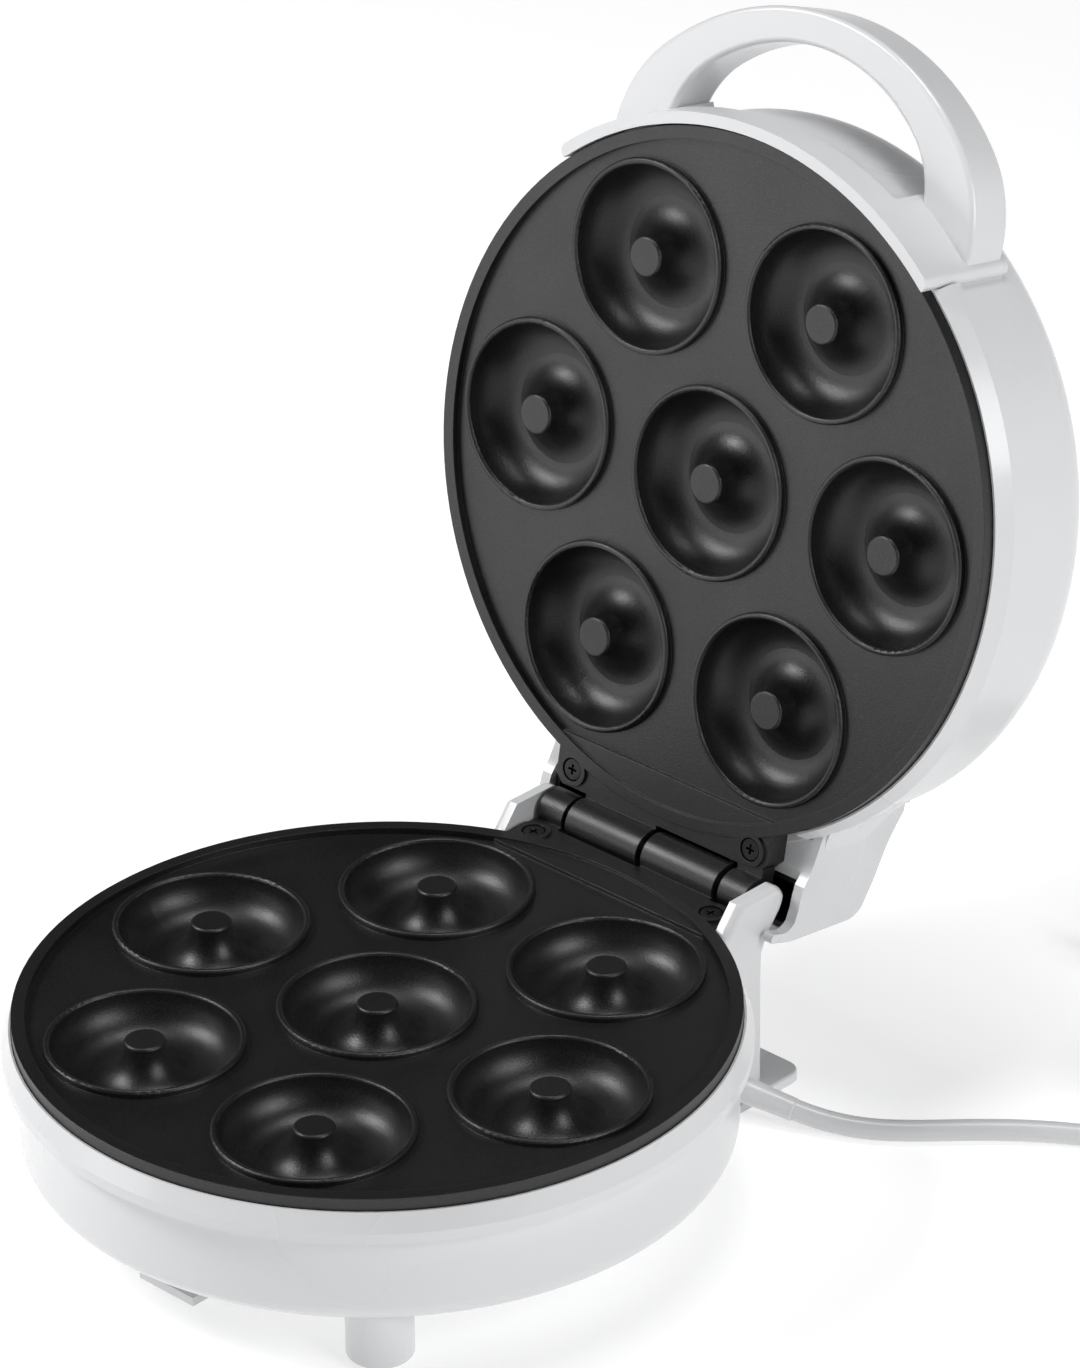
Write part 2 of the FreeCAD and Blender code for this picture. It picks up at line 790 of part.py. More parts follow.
# ---------------------------------------------------------------- lid housing
def lid_housing():
    body = new_body("lid_shell")
    top_ledge = dim.skirt_depth + dim.ledge_sheet
    crown = dim.lid_height - dim.lid_edge_height
    crown_edge = dim.lid_radius - dim.lid_corner
    top_radius = (crown_edge * crown_edge + crown * crown) / (2 * crown)
    dome = outline(
        new_sketch(body, "XZ_Plane"),
        [
            (0, dim.rim_start),
            (dim.rim_lip, dim.rim_start),
            (dim.rim_radius, dim.rim_crease),
            (dim.rim_radius, dim.rim_band),
            (dim.lid_radius, dim.rim_band + 1.2),
            (dim.lid_radius, dim.lid_edge_height - dim.lid_corner, dim.lid_corner),
            (dim.lid_radius - dim.lid_corner, dim.lid_edge_height, top_radius),
            (0, dim.lid_height),
        ],
    )
    turn(body, "Revolution", dome)
    # blends beside the rear box, sloping down outwards from the rounded edge of the lid
    blend_low = dim.rim_band + 1.0
    side_blends(body, dim.box_half, dim.lid_radius, dim.box_blend, blend_low, dim.blend_top)
    slope = outline(
        new_sketch(body, "XZ_Plane"),
        [
            (dim.lid_radius - 1.0, dim.blend_top + 0.5),
            (dim.lid_radius + 9.0, dim.blend_top - 12.5),
            (dim.lid_radius + 13.0, dim.blend_top + 10.0),
            (dim.lid_radius - 1.0, dim.blend_top + 10.0),
        ],
    )
    turn(body, "Groove", slope)
    # rear box with its two side arms, which reach down beside the base block
    side = outline(
        new_sketch(body, "YZ_Plane"),
        [
            (78.0, 12.5),
            (86.6, 11.8),
            (94.0, 9.6, -24.0),
            (101.0, 6.4, 40.0),
            (107.5, 5.5),
            (111.0, 4.6, -5.0),
            (113.2, 0.6),
            (112.7, -3.4, 1.6),
            (115.2, -3.8),
            (dim.box_back, 4.2),
            (114.9, 26.9, 9.0),
            (112.2, 32.6),
            (104.7, 36.2),
            (95.9, 39.5, -60.0),
            (86.5, 45.0),
            (78.0, 46.0),
        ],
    )
    push(body, "Pad", side, 2 * dim.box_half, both=True)
    seat = dim.plate_radius + 0.2
    wall = dim.lid_wall
    room = outline(
        new_sketch(body, "XZ_Plane"),
        [
            (0, -1.0),
            (seat, -1.0),
            (seat, dim.skirt_depth),
            (dim.ledge_radius, dim.skirt_depth),
            (dim.ledge_radius, top_ledge),
            (dim.lid_radius - wall, top_ledge),
            (dim.lid_radius - wall, dim.lid_edge_height - dim.lid_corner, dim.lid_corner - wall),
            (dim.lid_radius - dim.lid_corner, dim.lid_edge_height - wall, top_radius),
            (0, dim.lid_height - wall),
        ],
    )
    turn(body, "Groove", room)

    # room inside the rear box, above the shelf that carries the hinge flange
    box_room = outline(
        new_sketch(body, "YZ_Plane"),
        [
            (82.0, top_ledge),
            (100.5, top_ledge),
            (100.5, dim.skirt_depth),
            (dim.box_back - dim.box_wall, dim.skirt_depth),
            (dim.box_back - dim.box_wall, 4.0),
            (dim.box_back - dim.box_wall - 0.9, 26.0),
            (110.2, 30.8),
            (103.8, 33.6),
            (94.0, 37.2),
            (88.0, 40.0),
            (82.0, 40.0),
        ],
    )
    push(body, "Pocket", box_room, 2 * dim.box_inner, both=True)
    flange_room = outline(
        new_sketch(body, "YZ_Plane"),
        [
            (80.0, -15.0),
            (130.0, -15.0),
            (130.0, 4.0),
            (dim.box_back - dim.box_wall, 4.0),
            (dim.box_back - dim.box_wall, dim.skirt_depth),
            (80.0, dim.skirt_depth),
        ],
    )
    push(body, "Pocket", flange_room, 2 * dim.box_inner, both=True)

    # recess in the rim for the handle's collar
    collar_room = outline(
        new_sketch(body, "YZ_Plane"),
        [
            (-dim.lid_radius - 0.05, -5.0),
            (-dim.lid_radius - 0.05, 40.0),
            (-110.0, 40.0),
            (-110.0, -5.0),
        ],
    )
    turn(body, "Groove", collar_room, dim.collar_angle + 0.6)

    # bosses for the heat shield and for the hinge screws, sockets for the plate's feet
    bosses = circles(
        new_sketch(body, "XY_Plane", lift=dim.shield_depth),
        ring_spots(SHIELD_RING, SHIELD_ANGLES),
        3.5,
    )
    push(body, "Pad", bosses, dim.lid_height - dim.lid_wall - dim.shield_depth)
    shield_pilots = circles(
        new_sketch(body, "XY_Plane", lift=dim.shield_depth),
        ring_spots(SHIELD_RING, SHIELD_ANGLES),
        1.25,
    )
    push(body, "Pocket", shield_pilots, 9, back=True)
    sockets = circles(
        new_sketch(body, "XY_Plane", lift=dim.foot_depth - 6.0),
        ring_spots(dim.foot_ring, FOOT_ANGLES),
        6.0,
    )
    push(body, "Pad", sockets, dim.lid_edge_height - dim.lid_wall - dim.foot_depth + 6.2)
    hollows = circles(
        new_sketch(body, "XY_Plane", lift=dim.foot_depth - 7.0),
        ring_spots(dim.foot_ring, FOOT_ANGLES),
        dim.foot_radius + 0.1,
    )
    push(body, "Pocket", hollows, 7.1, back=True)
    hinge_bosses = circles(
        new_sketch(body, "XY_Plane", lift=dim.skirt_depth),
        [(dim.hinge_screw_side * way, dim.hinge_screw_back) for way in HINGE_SIDES],
        4.5,
    )
    push(body, "Pad", hinge_bosses, 12)
    hinge_holes = circles(
        new_sketch(body, "XY_Plane", lift=dim.skirt_depth),
        [(dim.hinge_screw_side * way, dim.hinge_screw_back) for way in HINGE_SIDES],
        1.5,
    )
    push(body, "Pocket", hinge_holes, 10, back=True)
    lamp_holes = circles(new_sketch(body, "XY_Plane", lift=40), LAMPS, 3.6)
    push(body, "Pocket", lamp_holes, 20, back=True)
    handle_holes = circles(
        new_sketch(body, "XZ_Plane", lift=60),
        [(HANDLE_SCREW * way, HANDLE_SCREW_HEIGHT) for way in HINGE_SIDES],
        1.9,
    )
    push(body, "Pocket", handle_holes, 30, back=True)
    node(body, "lid_housing", LID)


LAMPS = [(-9.0, -58.0), (9.0, -58.0)]
HANDLE_SCREW = 53.0
HANDLE_SCREW_HEIGHT = 24.0
lid_housing()


# ---------------------------------------------------------------- handle with its collar
def handle():
    body = new_body("handle_arch")
    inner, outer = dim.collar_inner, dim.collar_radius
    lean = FreeCAD.Rotation(Vector(1, 0, 0), -dim.handle_lean.value)
    # the sketch leans about the middle of the lid, so its feet come out 13 mm above its lift
    arch = new_sketch(body, "XY_Plane", lift=dim.handle_lift, turned=lean)
    push(body, "Pad", arch_outline(arch), dim.handle_sheet)
    round_edges(body, 1.5, is_arch_edge)
    clear = outline(
        new_sketch(body, "XZ_Plane"),
        [(0, -10.0), (inner, -10.0), (inner, 60.0), (0, 60.0)],
    )
    turn(body, "Groove", clear)
    # the collar: low between the legs of the arch, high under them
    leg_angle = 16.0
    leg_swing = (dim.collar_angle.value - leg_angle) / 2
    for high, angle, swing in (
        (dim.collar_high, dim.collar_angle, 0),
        (dim.collar_leg, leg_angle, leg_swing),
        (dim.collar_leg, leg_angle, -leg_swing),
    ):
        swung = FreeCAD.Rotation(Vector(0, 1, 0), swing)
        collar = outline(
            new_sketch(body, "YZ_Plane", turned=swung),
            [
                (-inner, dim.collar_low),
                (-inner, high),
                (-outer, high),
                (-outer, dim.collar_low),
            ],
        )
        turn(body, "Revolution", collar, angle)
    round_edges(body, 2.4, is_collar_end)
    pilots = circles(
        new_sketch(body, "XZ_Plane", lift=70),
        [(HANDLE_SCREW * way, HANDLE_SCREW_HEIGHT) for way in HINGE_SIDES],
        1.5,
    )
    push(body, "Pocket", pilots, 26, back=True)
    node(body, "handle", LID)


def half_oval(half, reach, centre, small, way):
    """Corners of a half oval of three tangent arcs, bulging to the front of its centre line.

    way is 1 to run from left to right and -1 to run back."""
    large = ((half - small) * (half - small) + reach * reach - small * small) / (2 * (reach - small))
    across = (half - small) / (large - small)
    along = (large - reach) / (large - small)
    joint = half - small + small * across
    depth = small * along
    return [
        (-half * way, -centre, small * way),
        (-joint * way, -centre - depth, large * way),
        (joint * way, -centre - depth, small * way),
        (half * way, -centre),
    ]


def arch_outline(sketch):
    """A horseshoe: an outer and an inner half oval joined by two straight feet."""
    foot = -68.0
    outer = half_oval(dim.handle_half, dim.handle_reach, dim.handle_centre, 36.0, 1)
    inner = half_oval(dim.grip_half, dim.grip_reach, dim.grip_centre, 26.0, -1)
    corners = [(-dim.handle_half, foot)] + outer + [(dim.handle_half, foot)]
    corners += [(dim.grip_half, foot)] + inner + [(-dim.grip_half, foot)]
    return outline(sketch, corners)


def is_arch_edge(edge):
    """The long edges of the arch, and not those of its feet inside the collar."""
    return edge.BoundBox.YLength > 5 and edge.BoundBox.XLength + edge.BoundBox.YLength > 12


def is_collar_end(edge):
    """The upright outer edge at either end of the collar."""
    box = edge.BoundBox
    return box.ZLength > 8 and box.XLength < 0.05 and box.YLength < 0.05 and abs(box.XMax) > 65


handle()


# ---------------------------------------------------------------- stand, pads and hinge pin
def rear_stand():
    """Foot plate under the rear block; it reaches back to stop the open lid tipping the base."""
    body = new_body("stand_plate")
    corner = 5.0
    side, back, front = dim.stand_half, dim.stand_back, dim.block_front - 1.0
    shape = outline(
        new_sketch(body, "XY_Plane", lift=-dim.parting_height),
        [
            (-side, front),
            (side, front),
            (side, back - corner, corner),
            (side - corner, back),
            (-side + corner, back, corner),
            (-side, back - corner),
        ],
    )
    push(body, "Pad", shape, dim.parting_height - dim.stand_top)
    holes = circles(new_sketch(body, "XY_Plane", lift=-dim.parting_height), STAND_SCREWS, 1.8)
    push(body, "Pocket", holes, 5, back=True)
    heads = circles(new_sketch(body, "XY_Plane", lift=-dim.parting_height), STAND_SCREWS, 3.6)
    push(body, "Pocket", heads, 1.6, back=True)
    round_edges(
        body,
        0.8,
        lambda edge: abs(edge.CenterOfMass.z + dim.stand_top.value) < 0.01
        and edge.CenterOfMass.y > 82
        and not is_circle(edge, 1.8),
    )
    node(body, "rear_stand", BASE)


def foot_pads():
    pads = [
        cylinder(f"pad_{number}", 6.0, 1.6, x, y, -dim.parting_height)
        for number, (x, y) in enumerate(FRONT_FEET, start=1)
    ]
    node(group("pads", pads), "front_foot_pads", BASE)


def hinge_pin():
    end = dim.knuckle_outer + 0.1
    shaft = cylinder("pin_shaft", dim.pin_radius, 2 * end + 0.8, -end - 0.8, dim.hinge_back, 0, "x")
    head = cylinder("pin_head", dim.pin_radius + 1.2, 0.9, end, dim.hinge_back, 0, "x")
    node(fuse("pin", [shaft, head]), "hinge_pin", BASE)


rear_stand()
foot_pads()
hinge_pin()


# ---------------------------------------------------------------- fasteners
HINGE_SCREWS = [(dim.hinge_screw_side * way, dim.hinge_screw_back) for way in HINGE_SIDES]
screws("lower_hinge_screws", BASE, HINGE_SCREWS, 2.9, 1.7, 1.4, 11.0, -0.5, False)
screws("upper_hinge_screws", LID + FLIP, HINGE_SCREWS, 2.9, 1.7, 1.4, 11.0, -0.5, False)
PLATE_SCREWS = ring_spots(dim.foot_ring, FOOT_ANGLES)
screws("base_plate_screws", BASE, PLATE_SCREWS, 3.4, 2.4, 1.5, 18.0, -37.4, True)
screws("stand_screws", BASE, STAND_SCREWS, 3.2, 1.4, 1.4, 11.0, -55.8, True)
CLAMP_SPOTS = ring_spots(dim.clamp_ring, CLAMP_ANGLES)
SHIELD_SPOTS = ring_spots(SHIELD_RING, SHIELD_ANGLES)


# ---------------------------------------------------------------- heating, the same in both halves
LEG_ANGLES = (78, 102)
THERMOSTAT = (0.0, -36.5)


def heating(side, home):
    """Ring element clamped under a plate, and the reflector below it."""
    centre = -dim.element_depth
    body = new_body(side + "_element")
    rod = circles(new_sketch(body, "YZ_Plane"), [(-dim.element_ring, centre)], dim.element_radius)
    turn(body, "Revolution", rod, 336)
    legs = ring_spots(dim.element_ring, LEG_ANGLES)
    # each end of the ring sits inside an upright sleeve with a terminal pin under it
    sleeve = dim.element_radius + 0.5
    for radius, length in ((sleeve, 13.75), (1.5, 18.75)):
        ends = circles(new_sketch(body, "XY_Plane", lift=centre + sleeve), legs, radius)
        push(body, "Pad", ends, length, back=True)
    node(body, side + "_heating_element", home)

    low = -(dim.element_depth + dim.element_radius)
    sheet, width = 1.2, 7.0
    clamps = []
    for number, angle in enumerate(CLAMP_ANGLES, start=1):
        strap = doc.addObject("Part::Box", f"{side}_strap_{number}")
        strap.Length, strap.Width, strap.Height = 20.0, width, sheet
        turned = FreeCAD.Rotation(Vector(0, 0, 1), angle)
        corner = turned.multVec(Vector(42.5, -width / 2, 0))
        strap.Placement = FreeCAD.Placement(corner + Vector(0, 0, low.value - sheet), turned)
        x, y = CLAMP_SPOTS[number - 1]
        hole = cylinder(f"{side}_strap_hole_{number}", 1.4, 4, x, y, low - 3)
        clamps.append(cut(f"{side}_clamp_{number}", strap, hole))
    node(group(side + "_clamps", clamps), side + "_element_clamps", home)
    screws(side + "_clamp_screws", home, CLAMP_SPOTS, 2.5, 1.6, 1.2, 7.5, low.value - sheet - 1.6, True)

    body = new_body(side + "_reflector")
    top = -dim.shield_depth + dim.shield_sheet
    section = outline(
        new_sketch(body, "XZ_Plane"),
        [
            (0, -dim.shield_depth),
            (dim.shield_radius, -dim.shield_depth),
            (dim.shield_radius, top + 3.0),
            (dim.shield_radius - dim.shield_sheet, top + 3.0),
            (dim.shield_radius - dim.shield_sheet, top),
            (0, top),
        ],
    )
    turn(body, "Revolution", section)
    for spots, radius in (
        (ring_spots(dim.element_ring, LEG_ANGLES), 5.5),
        ([THERMOSTAT], 6.0),
        (SHIELD_SPOTS, 1.4),
    ):
        holes = circles(new_sketch(body, "XY_Plane", lift=-dim.shield_depth - 1), spots, radius)
        push(body, "Pocket", holes, 4, back=True)
    node(body, side + "_heat_shield", home)
    screws(side + "_shield_screws", home, SHIELD_SPOTS, 2.6, 1.6, 1.2, 8.0, top.value + 1.6, False)


heating("lower", BASE)
heating("upper", LID + FLIP)


# ---------------------------------------------------------------- controls and wiring
def thermostat():
    under = -(dim.half_gap + dim.plate_recess + dim.plate_sheet)
    x, y = THERMOSTAT
    flange = cylinder("thermostat_flange", 7.8, 1.0, x, y, under - 1.0)
    can = cylinder("thermostat_can", 6.8, 7.0, x, y, under - 7.0)
    tabs = [
        block(f"thermostat_tab_{way}", 0.8, 3.2, 5.0, x + 4.0 * way, y, under - 11.5)
        for way in HINGE_SIDES
    ]
    node(fuse("thermostat_body", [flange, can] + tabs), "thermostat", BASE)


def terminal_block():
    case = block("terminal_case", 30.0, 12.0, 8.0, 0, 74.0, floor_top())
    ways = [
        cylinder(f"terminal_way_{number}", 1.6, 14.0, x, 67.0, floor_top() + 4.0, "y")
        for number, x in enumerate((-9.0, 0.0, 9.0), start=1)
    ]
    node(cut("terminals", case, fuse("terminal_ways", ways)), "terminal_block", BASE)


def tube(points, radius):
    """Plain tube along straight runs, with round elbows."""
    parts = []
    for first, last in zip(points, points[1:]):
        run = last - first
        parts.append(Part.makeCylinder(radius, run.Length, first, run))
    parts += [Part.makeSphere(radius, point) for point in points[1:-1]]
    return parts[0].multiFuse(parts[1:]).removeSplitter()


def wiring(label, home, runs, radius=1.1):
    wires = [
        solid(f"{label}_{number}", tube([Vector(*point) for point in run], radius))
        for number, run in enumerate(runs, start=1)
    ]
    node(group(label + "_loom", wires), label, home)


def power_lamps():
    """Two indicator lamps in the top of the lid: lenses outside, their carrier inside."""
    for (x, y), label in zip(LAMPS, ("power_lamp_lens", "ready_lamp_lens")):
        stem = cylinder(label + "_stem", 3.5, 5.5, x, y, 44.0)
        cap = cylinder(label + "_cap", 4.6, 1.2, x, y, 49.0)
        node(fuse(label + "_whole", [stem, cap]), label, LID)
    (left, y), (right, _) = LAMPS
    bar = block("lamp_bar", right - left + 14.0, 8.0, 2.0, 0, y, 36.0)
    bulbs = [cylinder(f"lamp_bulb_{way}", 2.2, 6.0, right * way, y, 38.0) for way in HINGE_SIDES]
    posts = [cylinder(f"lamp_post_{way}", 1.5, 9.6, 3.0 * way, y, 36.5) for way in HINGE_SIDES]
    node(fuse("lamp_parts", [bar] + bulbs + posts), "lamp_carrier", LID)


def wire_cover():
    """Black liner in the lid's rear box; it keeps the wires away from the hinge."""
    body = new_body("hinge_liner")
    back = dim.box_back - dim.box_wall - 0.15
    outer = outline(
        new_sketch(body, "YZ_Plane"),
        [
            (100.7, 8.4),
            (back - 1.5, 8.4),
            (back - 1.5, 4.4),
            (back, 4.4),
            (back - 0.9, 25.8),
            (109.9, 30.4),
            (103.6, 33.2),
            (100.7, 34.2),
        ],
    )
    push(body, "Pad", outer, 2 * (dim.box_inner - 0.15), both=True)
    hollow = outline(
        new_sketch(body, "YZ_Plane"),
        [
            (102.2, 0.0),
            (back - 1.5, 0.0),
            (back - 2.4, 25.2),
            (108.9, 29.0),
            (102.2, 31.9),
        ],
    )
    push(body, "Pocket", hollow, 2 * (dim.box_inner - 1.65), both=True)
    hole = circles(new_sketch(body, "XZ_Plane", lift=-99), [(20.0, 21.0)], 4.5)
    push(body, "Pocket", hole, 5)
    node(body, "hinge_wire_cover", LID)


def handle_screws():
    made = []
    for way in HINGE_SIDES:
        x, z = HANDLE_SCREW * way, HANDLE_SCREW_HEIGHT
        wall_y = -math.sqrt((dim.lid_radius - dim.lid_wall).value ** 2 - x * x)
        head = cylinder(f"handle_screw_head_{way}", 3.4, 2.0, x, wall_y + 2.9, z, "y")
        shank = cylinder(f"handle_screw_shank_{way}", 1.4, 17.0, x, wall_y + 3.0 - 17.0, z, "y")
        made.append(fuse(f"handle_screw_{way}", [head, shank]))
    node(group("handle_screw_set", made), "handle_screws", LID)


thermostat()
terminal_block()
power_lamps()
wire_cover()
handle_screws()
under_plate = -6.9
fuse_can = cylinder("fuse_can", 1.6, 12.0, -38.0, 18.25, under_plate, "x")
node(group("fuse_set", [fuse_can]), "thermal_fuse", BASE)
wiring(
    "base_wiring",
    BASE,
    [
        [(39.0, 88.0, -46.2), (22.0, 89.5, -44.0), (9.0, 88.0, -35.0), (9.0, 80.4, -32.4)],
        [(39.0, 89.6, -48.4), (20.0, 92.5, -47.0), (0.0, 90.0, -36.0), (0.0, 80.4, -32.4)],
        [(-9.0, 67.6, -32.4), (-12.0, 58.0, -32.0), (-9.8, 49.7, -30.8)],
        [(9.8, 42.3, -30.8), (7.0, 10.0, -29.5), (4.0, -33.0, -29.0), (4.0, -36.5, -18.0)],
        [(-4.0, -36.5, -18.0), (-4.0, -33.0, -29.0), (-3.0, 20.0, -33.6), (0.0, 67.4, -32.4)],
    ],
)
wiring(
    "lid_wiring",
    LID,
    [
        [
            (18.2, 104.5, 12.0),
            (18.2, 104.5, 20.0),
            (18.2, 97.0, 20.5),
            (17.0, 86.0, 29.5),
            (9.8, 49.9, 30.4),
        ],
        [
            (21.8, 105.5, 12.0),
            (21.8, 105.5, 22.5),
            (21.8, 97.0, 23.0),
            (20.0, 88.0, 33.5),
            (-9.8, 49.9, 31.0),
        ],
        [(-9.8, 42.1, 31.0), (-20.0, 0.0, 31.0), (-12.0, -49.0, 34.8)],
    ],
)


# ---------------------------------------------------------------- mains cord, its coil and its plug
EXIT = Vector(44.6, 88.6, -47.0)
ROUTE = [
    Vector(63.0, 95.0, -50.8),
    Vector(72.0, 98.6, -52.4),
    Vector(82.0, 103.8, -53.0),
    Vector(92.0, 112.0, -53.0),
    Vector(102.0, 122.2, -53.0),
    Vector(113.8, 132.6, -53.0),
    Vector(127.6, 141.8, -53.0),
    Vector(143.0, 149.6, -53.0),
    Vector(159.8, 156.4, -53.0),
]
LEAD = [
    Vector(153.0, 220.5, -47.0),
    Vector(140.0, 223.4, -47.5),
    Vector(127.0, 224.6, -48.0),
]


def cord_path(points):
    """Straight runs joined by arcs as large as the runs allow; returns the wire and its length."""
    edges, radii, start = [], [], points[0]
    for before, corner, after in zip(points, points[1:], points[2:]):
        way_in, way_out = (corner - before).normalize(), (after - corner).normalize()
        half_turn = way_in.getAngle(way_out) / 2
        reach = 0.45 * min((corner - before).Length, (after - corner).Length)
        radii.append(reach / math.tan(half_turn))
        first, last = corner - way_in * reach, corner + way_out * reach
        bisector = (way_out - way_in).normalize()
        centre = corner + bisector * (radii[-1] / math.cos(half_turn))
        middle = centre - bisector * radii[-1]
        edges += [Part.LineSegment(start, first).toShape(), Part.Arc(first, middle, last).toShape()]
        start = last
    edges.append(Part.LineSegment(start, points[-1]).toShape())
    print("cord radii (mm):", [round(radius) for radius in radii])
    return Part.Wire(edges)


def cord_solid(points):
    path = cord_path(points)
    radius = dim.cord_radius.value
    circle = Part.Wire(Part.makeCircle(radius, points[0], points[1] - points[0]))
    shape = path.makePipeShell([circle], True, True)
    ideal = math.pi * radius * radius * path.Length
    print(f"cord run {path.Length:.1f} mm, volume {shape.Volume / ideal:.4f} of section times length")
    return shape


def strain_relief():
    """Snap-in bush in the block's wall with a tapered sleeve around the cord."""
    y, z = CORD_EXIT
    wall = dim.block_half
    inner = cylinder("relief_inner", 5.8, 1.4, wall - dim.block_wall - 1.4, y, z, "x")
    neck = cylinder("relief_neck", 4.6, 5.0, wall - 3.5, y, z, "x")
    collar = cylinder("relief_collar", 5.4, 1.2, wall, y, z, "x")
    along = ROUTE[0] - EXIT
    sleeve = doc.addObject("Part::Cone", "relief_sleeve")
    sleeve.Radius1, sleeve.Radius2, sleeve.Height = 4.0, 3.25, along.Length
    sleeve.Placement = FreeCAD.Placement(EXIT, FreeCAD.Rotation(Vector(0, 0, 1), along))
    node(fuse("relief", [inner, neck, collar, sleeve]), "cord_strain_relief", BASE)


def cord_coil():
    """The outer shape of the put-away turns: two layers of two."""
    floor = -dim.parting_height
    height = 4 * dim.cord_radius
    outer = cylinder("coil_outside", dim.coil_outer, height, dim.coil_right, dim.coil_back, floor)
    inner = cylinder("coil_inside", dim.coil_inner, height + 2, dim.coil_right, dim.coil_back, floor - 1)
    node(cut("coil", outer, inner), "cord_coil", BASE)


def plug():
    """Flat two-pin mains plug, lying on its side face behind the coil."""
    tail = LEAD[-1]
    along = (LEAD[-1] - LEAD[-2])
    along.z = 0
    turned = FreeCAD.Rotation(Vector(1, 0, 0), along)
    home = FreeCAD.Placement(tail, turned)
    half_high = dim.parting_height.value + tail.z
    body = new_body("plug_case")
    shape = outline(
        new_sketch(body, "XY_Plane", lift=-half_high),
        [
            (0, -3.6),
            (14.0, -5.0),
            (22.0, -11.0, -9.0),
            (28.0, -13.0),
            (40.0, -16.0),
            (44.0, -16.0),
            (44.0, 16.0),
            (40.0, 16.0),
            (28.0, 13.0, -9.0),
            (22.0, 11.0),
            (14.0, 5.0),
            (0, 3.6),
        ],
    )
    push(body, "Pad", shape, 2 * half_high)
    slope = outline(
        new_sketch(body, "XZ_Plane"),
        [
            (-1.0, 3.6),
            (14.0, 5.0),
            (26.0, half_high),
            (26.0, 12.0),
            (-1.0, 12.0),
        ],
    )
    push(body, "Pocket", slope, 60, both=True)
    slope = outline(
        new_sketch(body, "XZ_Plane"),
        [
            (-1.0, -3.6),
            (-1.0, -12.0),
            (26.0, -12.0),
            (26.0, -half_high),
            (14.0, -5.0),
        ],
    )
    push(body, "Pocket", slope, 60, both=True)
    round_edges(body, 1.5, lambda edge: abs(edge.CenterOfMass.x - 44.0) < 0.01)
    spot = home.Base
    where = f"placement(vector({spot.x:.4f}; {spot.y:.4f}; {spot.z:.4f}); rotation(vector(0;0;1); "
    angle = math.degrees(math.atan2(along.y, along.x))
    home_formula = f"{BASE} * {where}{angle:.6f}))"
    node(body, "plug_body", home_formula)
    pins = []
    for way in HINGE_SIDES:
        pin = cylinder(f"plug_pin_{way}", 2.4, 18.0, 44.0, 9.5 * way, 0, "x")
        tip = cone(f"plug_tip_{way}", 2.4, 1.4, 1.2, 62.0, 9.5 * way, 0, "x")
        pins.append(fuse(f"plug_prong_{way}", [pin, tip]))
    node(group("plug_pin_pair", pins), "plug_pins", home_formula)


strain_relief()
cord_runs = [solid("cord_near", cord_solid(ROUTE)), solid("cord_far", cord_solid(LEAD))]
node(group("cord_runs", cord_runs), "mains_cord", BASE)
cord_coil()
plug()

doc.recompute()
for thing in doc.Objects:
    if "Invalid" in thing.State or "Error" in thing.State:
        raise RuntimeError(f"{thing.Name} failed: {thing.State}")

os.makedirs("parts", exist_ok=True)
for thing in NODES:
    shape = thing.Shape
    if shape.isNull() or not shape.isValid():
        raise RuntimeError(f"{thing.Label} has no valid shape")
    shape.exportStep(f"parts/{thing.Label}.step")
    print(f"{thing.Label:24s} {len(shape.Solids)} solids {shape.Volume / 1000:9.2f} cm3")
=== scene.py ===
import json
import math

import bmesh
import bpy
from mathutils import Matrix, Vector


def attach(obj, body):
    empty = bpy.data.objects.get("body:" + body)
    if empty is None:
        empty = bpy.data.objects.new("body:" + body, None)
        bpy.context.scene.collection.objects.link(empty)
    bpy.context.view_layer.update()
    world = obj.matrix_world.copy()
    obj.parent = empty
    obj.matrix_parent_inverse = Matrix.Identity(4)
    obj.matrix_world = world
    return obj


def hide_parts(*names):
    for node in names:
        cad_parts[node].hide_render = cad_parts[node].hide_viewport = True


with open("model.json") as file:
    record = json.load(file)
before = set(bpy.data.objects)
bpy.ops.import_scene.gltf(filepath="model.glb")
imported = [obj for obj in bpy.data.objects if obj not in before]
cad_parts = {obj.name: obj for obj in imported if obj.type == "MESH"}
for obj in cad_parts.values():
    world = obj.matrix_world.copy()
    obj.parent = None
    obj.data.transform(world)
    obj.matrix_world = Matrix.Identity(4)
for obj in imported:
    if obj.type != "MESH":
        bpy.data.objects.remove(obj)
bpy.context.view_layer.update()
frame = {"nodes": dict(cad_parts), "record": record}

# Everything is in metres in the part's own frame: +X right, +Y to the hinge, +Z up.
MM = 0.001
PLATE_CENTRE = Vector((0.0, -46.2, 56.0)) * MM  # middle of the lower plate, on the parting plane
scene = bpy.context.scene


def from_plate(x, y, z):
    """A point given in mm about the middle of the lower plate, in the part's frame."""
    return PLATE_CENTRE + Vector((x, y, z)) * MM


# ------------------------------------------------------------------ camera
CAMERA_SPOT = from_plate(1138.7, -1114.1, 953.1)
CAMERA_AZIMUTH = math.radians(44.17)
CAMERA_ELEVATION = math.radians(28.34)
CAMERA_ROLL = math.radians(-0.86)
CAMERA_LENS = 185.12
CAMERA_SHIFT = (0.0102, 0.0002)
CAMERA_REACH = 30.0


